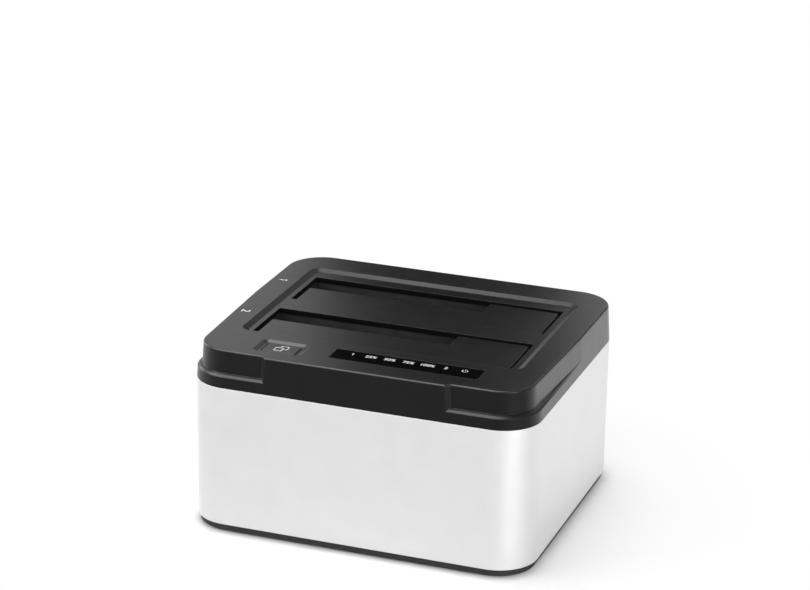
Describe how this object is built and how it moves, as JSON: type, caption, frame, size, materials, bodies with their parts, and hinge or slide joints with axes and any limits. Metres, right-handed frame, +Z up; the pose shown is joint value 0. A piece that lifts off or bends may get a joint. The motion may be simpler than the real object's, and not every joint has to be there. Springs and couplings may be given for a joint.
{
  "type": "hard drive docking station",
  "caption": "Docking station with an aluminium sleeve, hinged dust flaps over the drive bays, a push button and status lamps.",
  "frame": {"origin": "on the surface the feet stand on, under the middle of the case", "axes": "+Z up; the front with the button and the status window faces -Y; +X to the right seen from the front"},
  "size_m": [0.14, 0.121, 0.0755],
  "materials": {
    "sleeve_aluminium": "satin anodised",
    "cover_plastic": "semi-gloss, lightly rippled",
    "flap_plastic": "gloss",
    "base_plastic": "fine moulded texture",
    "frame_plastic": "fine moulded texture",
    "foot_rubber": "matte",
    "rod_steel": "drawn",
    "spring_steel": "drawn wire",
    "socket_plastic": "moulded",
    "contact_gold": "gold plated",
    "board_green": "solder mask",
    "chip_black": "moulded",
    "can_aluminium": "drawn",
    "coil_grey": "pressed ferrite",
    "crystal_metal": "stamped",
    "lamp_clear": "clear resin",
    "guide_clear": "polished",
    "window_black": "polished",
    "button_black": "semi-gloss",
    "switch_black": "moulded",
    "plunger_brown": "moulded",
    "connector_cream": "moulded",
    "ribbon_grey": "ribbed",
    "panel_plastic": "fine moulded texture",
    "inlet_plastic": "moulded",
    "pin_nickel": "nickel plated",
    "usb_shell": "stamped, plated",
    "tongue_white": "moulded",
    "housing_black": "moulded",
    "rocker_black": "moulded",
    "terminal_tin": "tinned",
    "screw_zinc": "zinc plated",
    "screw_black": "black oxide"
  },
  "bodies": {
    "station": {"base_tray": "base_plastic", "foot_front_left": "foot_rubber", "foot_front_right": "foot_rubber", "foot_rear_left": "foot_rubber", "foot_rear_right": "foot_rubber", "sleeve": "sleeve_aluminium", "top_cover": "cover_plastic", "bay_frame": "frame_plastic", "front_hinge_rod": "rod_steel", "rear_hinge_rod": "rod_steel", "front_flap_spring": "spring_steel", "rear_flap_spring": "spring_steel", "front_drive_socket": "socket_plastic", "front_socket_contacts": "contact_gold", "rear_drive_socket": "socket_plastic", "rear_socket_contacts": "contact_gold", "main_board": "board_green", "bridge_chip": "chip_black", "board_chips": "chip_black", "capacitors": "can_aluminium", "power_inductors": "coil_grey", "crystal": "crystal_metal", "lamp_board": "board_green", "status_lamps": "lamp_clear", "light_guide": "guide_clear", "status_window": "window_black", "push_switch": "switch_black", "lamp_board_connector": "connector_cream", "main_board_connector": "connector_cream", "ribbon_cable": "ribbon_grey", "rear_panel": "panel_plastic", "power_inlet": "inlet_plastic", "inlet_pin": "pin_nickel", "usb_socket": "usb_shell", "usb_tongues": "tongue_white", "switch_housing": "housing_black", "switch_terminals": "terminal_tin", "case_screws": "screw_black", "bay_frame_screws": "screw_zinc", "main_board_screws": "screw_zinc"},
    "front_flap": {"front_flap": "flap_plastic"},
    "rear_flap": {"rear_flap": "flap_plastic"},
    "clone_button": {"clone_button": "button_black", "switch_plunger": "plunger_brown"},
    "power_rocker": {"power_rocker": "rocker_black"}
  },
  "joints": [
    {"name": "front_flap_hinge", "type": "hinge", "parent": "station", "child": "front_flap", "pos_m": [0, -0.0331, 0.0709], "axis": [-1, 0, 0], "range_deg": [0, 88], "stiffness_Nm_per_rad": 0.012, "springref_deg": -14.32, "deforming": ["front_flap_spring"]},
    {"name": "rear_flap_hinge", "type": "hinge", "parent": "station", "child": "rear_flap", "pos_m": [0, 0.0065, 0.0709], "axis": [-1, 0, 0], "range_deg": [0, 88], "stiffness_Nm_per_rad": 0.012, "springref_deg": -14.32, "deforming": ["rear_flap_spring"]},
    {"name": "clone_button_press", "type": "slide", "parent": "station", "child": "clone_button", "axis": [0, 0, -1], "range_m": [0, 0.0006], "stiffness_N_per_m": 1200, "springref_m": -0.0006},
    {"name": "power_rocker_tilt", "type": "hinge", "parent": "station", "child": "power_rocker", "pos_m": [0.03, 0.058, 0.0295], "axis": [0, 0, 1], "range_deg": [0, 20]}
  ]
}
